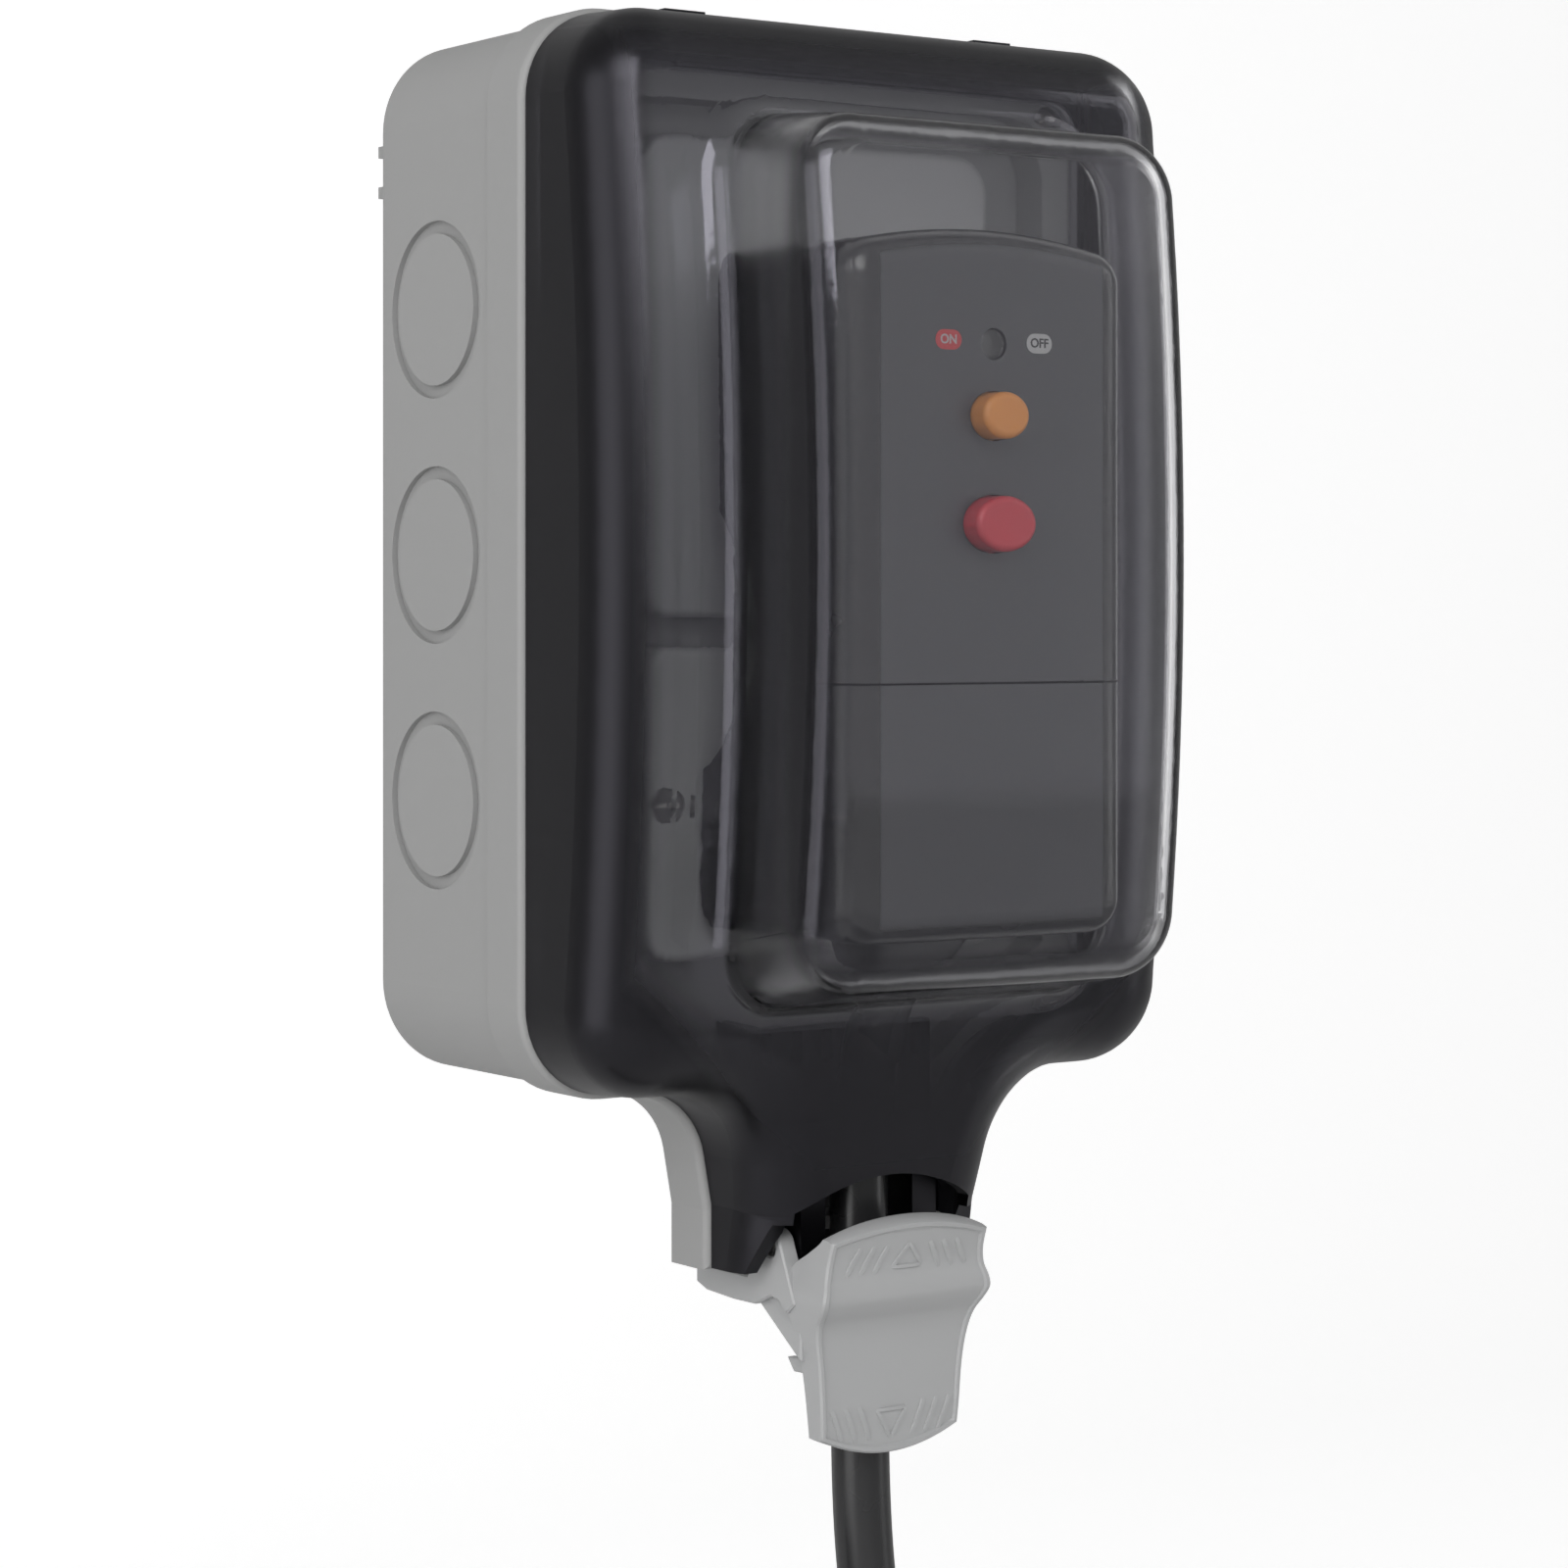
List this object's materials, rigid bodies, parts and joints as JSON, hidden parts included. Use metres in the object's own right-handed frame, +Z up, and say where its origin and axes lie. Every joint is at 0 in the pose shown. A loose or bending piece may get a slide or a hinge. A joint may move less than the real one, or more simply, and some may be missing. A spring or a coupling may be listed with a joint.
{
  "type": "weatherproof socket outlet",
  "caption": "Surface box with a one-gang three-pin socket under a smoked hinged lid with a latch lever, holding a plug-in safety device whose cord leaves below.",
  "frame": {"origin": "centre of the four wall-fixing holes on the box's flat back", "axes": "+X right as seen from the front, +Y into the wall, +Z up"},
  "size_m": [0.1825, 0.1047, 0.4331],
  "materials": {
    "case_plastic": "fine matte grain",
    "smoked_plastic": "smoked and slightly see-through",
    "seal_rubber": "matte",
    "zinc_steel": "zinc plated",
    "lever_plastic": "satin",
    "dark_plastic": "fine grain",
    "cover_plastic": "satin",
    "white_plastic": "satin",
    "window_plastic": "clear",
    "reset_plastic": "satin orange",
    "test_plastic": "satin red",
    "flag_plastic": "satin black above and orange below",
    "board_laminate": "lacquered",
    "copper_wire": "lacquered winding",
    "ferrite": "matte",
    "brass": "bright",
    "fuse_ceramic": "glazed",
    "cord_rubber": "matte",
    "connector_rubber": "matte"
  },
  "bodies": {
    "root": {"back_box": "case_plastic", "box_seal": "seal_rubber", "front_frame": "case_plastic", "lid_seal": "seal_rubber", "hinge_pins": "zinc_steel", "cord_seal": "seal_rubber", "frame_screws": "zinc_steel", "blank_panel": "case_plastic", "socket_faceplate": "white_plastic", "socket_screws": "zinc_steel", "socket_base": "white_plastic", "socket_shutter": "white_plastic", "neutral_contact": "brass", "live_contact": "brass", "earth_contact": "brass", "terminal_screws": "zinc_steel", "plug_rear_housing": "dark_plastic", "plug_front_cover": "cover_plastic", "plug_fuse_cover": "cover_plastic", "indicator_window": "window_plastic", "reset_spring": "zinc_steel", "test_spring": "zinc_steel", "circuit_board": "board_laminate", "trip_coil": "copper_wire", "sensing_ring": "ferrite", "terminal_plate": "dark_plastic", "fuse": "fuse_ceramic", "fuse_clips": "brass", "plug_neutral_pin": "brass", "plug_live_pin": "brass", "plug_earth_pin": "brass", "pin_sleeves": "dark_plastic", "cord_boot": "cord_rubber", "cord": "cord_rubber", "cord_coil": "cord_rubber", "cord_tie": "seal_rubber", "connector_sleeve": "connector_rubber", "connector_body": "connector_rubber", "connector_insert": "dark_plastic"},
    "lid": {"lid": "smoked_plastic", "latch_pins": "zinc_steel"},
    "latch": {"latch_lever": "lever_plastic"},
    "reset": {"reset_button": "reset_plastic"},
    "test": {"test_button": "test_plastic"},
    "flag": {"indicator_flag": "flag_plastic"}
  },
  "joints": [
    {"name": "lid_hinge", "type": "hinge", "parent": "root", "child": "lid", "pos_m": [0, -0.0455, 0.0882], "axis": [-1, 0, 0], "range_deg": [0, 96]},
    {"name": "latch_pivot", "type": "hinge", "parent": "lid", "child": "latch", "pos_m": [0, -0.0572, -0.1157], "axis": [-1, 0, 0], "range_deg": [0, 20]},
    {"name": "reset_press", "type": "slide", "parent": "root", "child": "reset", "axis": [0, 1, 0], "range_m": [0, 0.002], "stiffness_N_per_m": 300, "springref_m": -0.001},
    {"name": "test_press", "type": "slide", "parent": "root", "child": "test", "axis": [0, 1, 0], "range_m": [0, 0.002], "stiffness_N_per_m": 300, "springref_m": -0.001},
    {"name": "flag_slide", "type": "slide", "parent": "root", "child": "flag", "axis": [0, 0, 1], "range_m": [0, 0.003]}
  ],
  "couplings": [
    {"joint": "flag_slide", "follows": "reset_press", "ratio": 1.5}
  ]
}
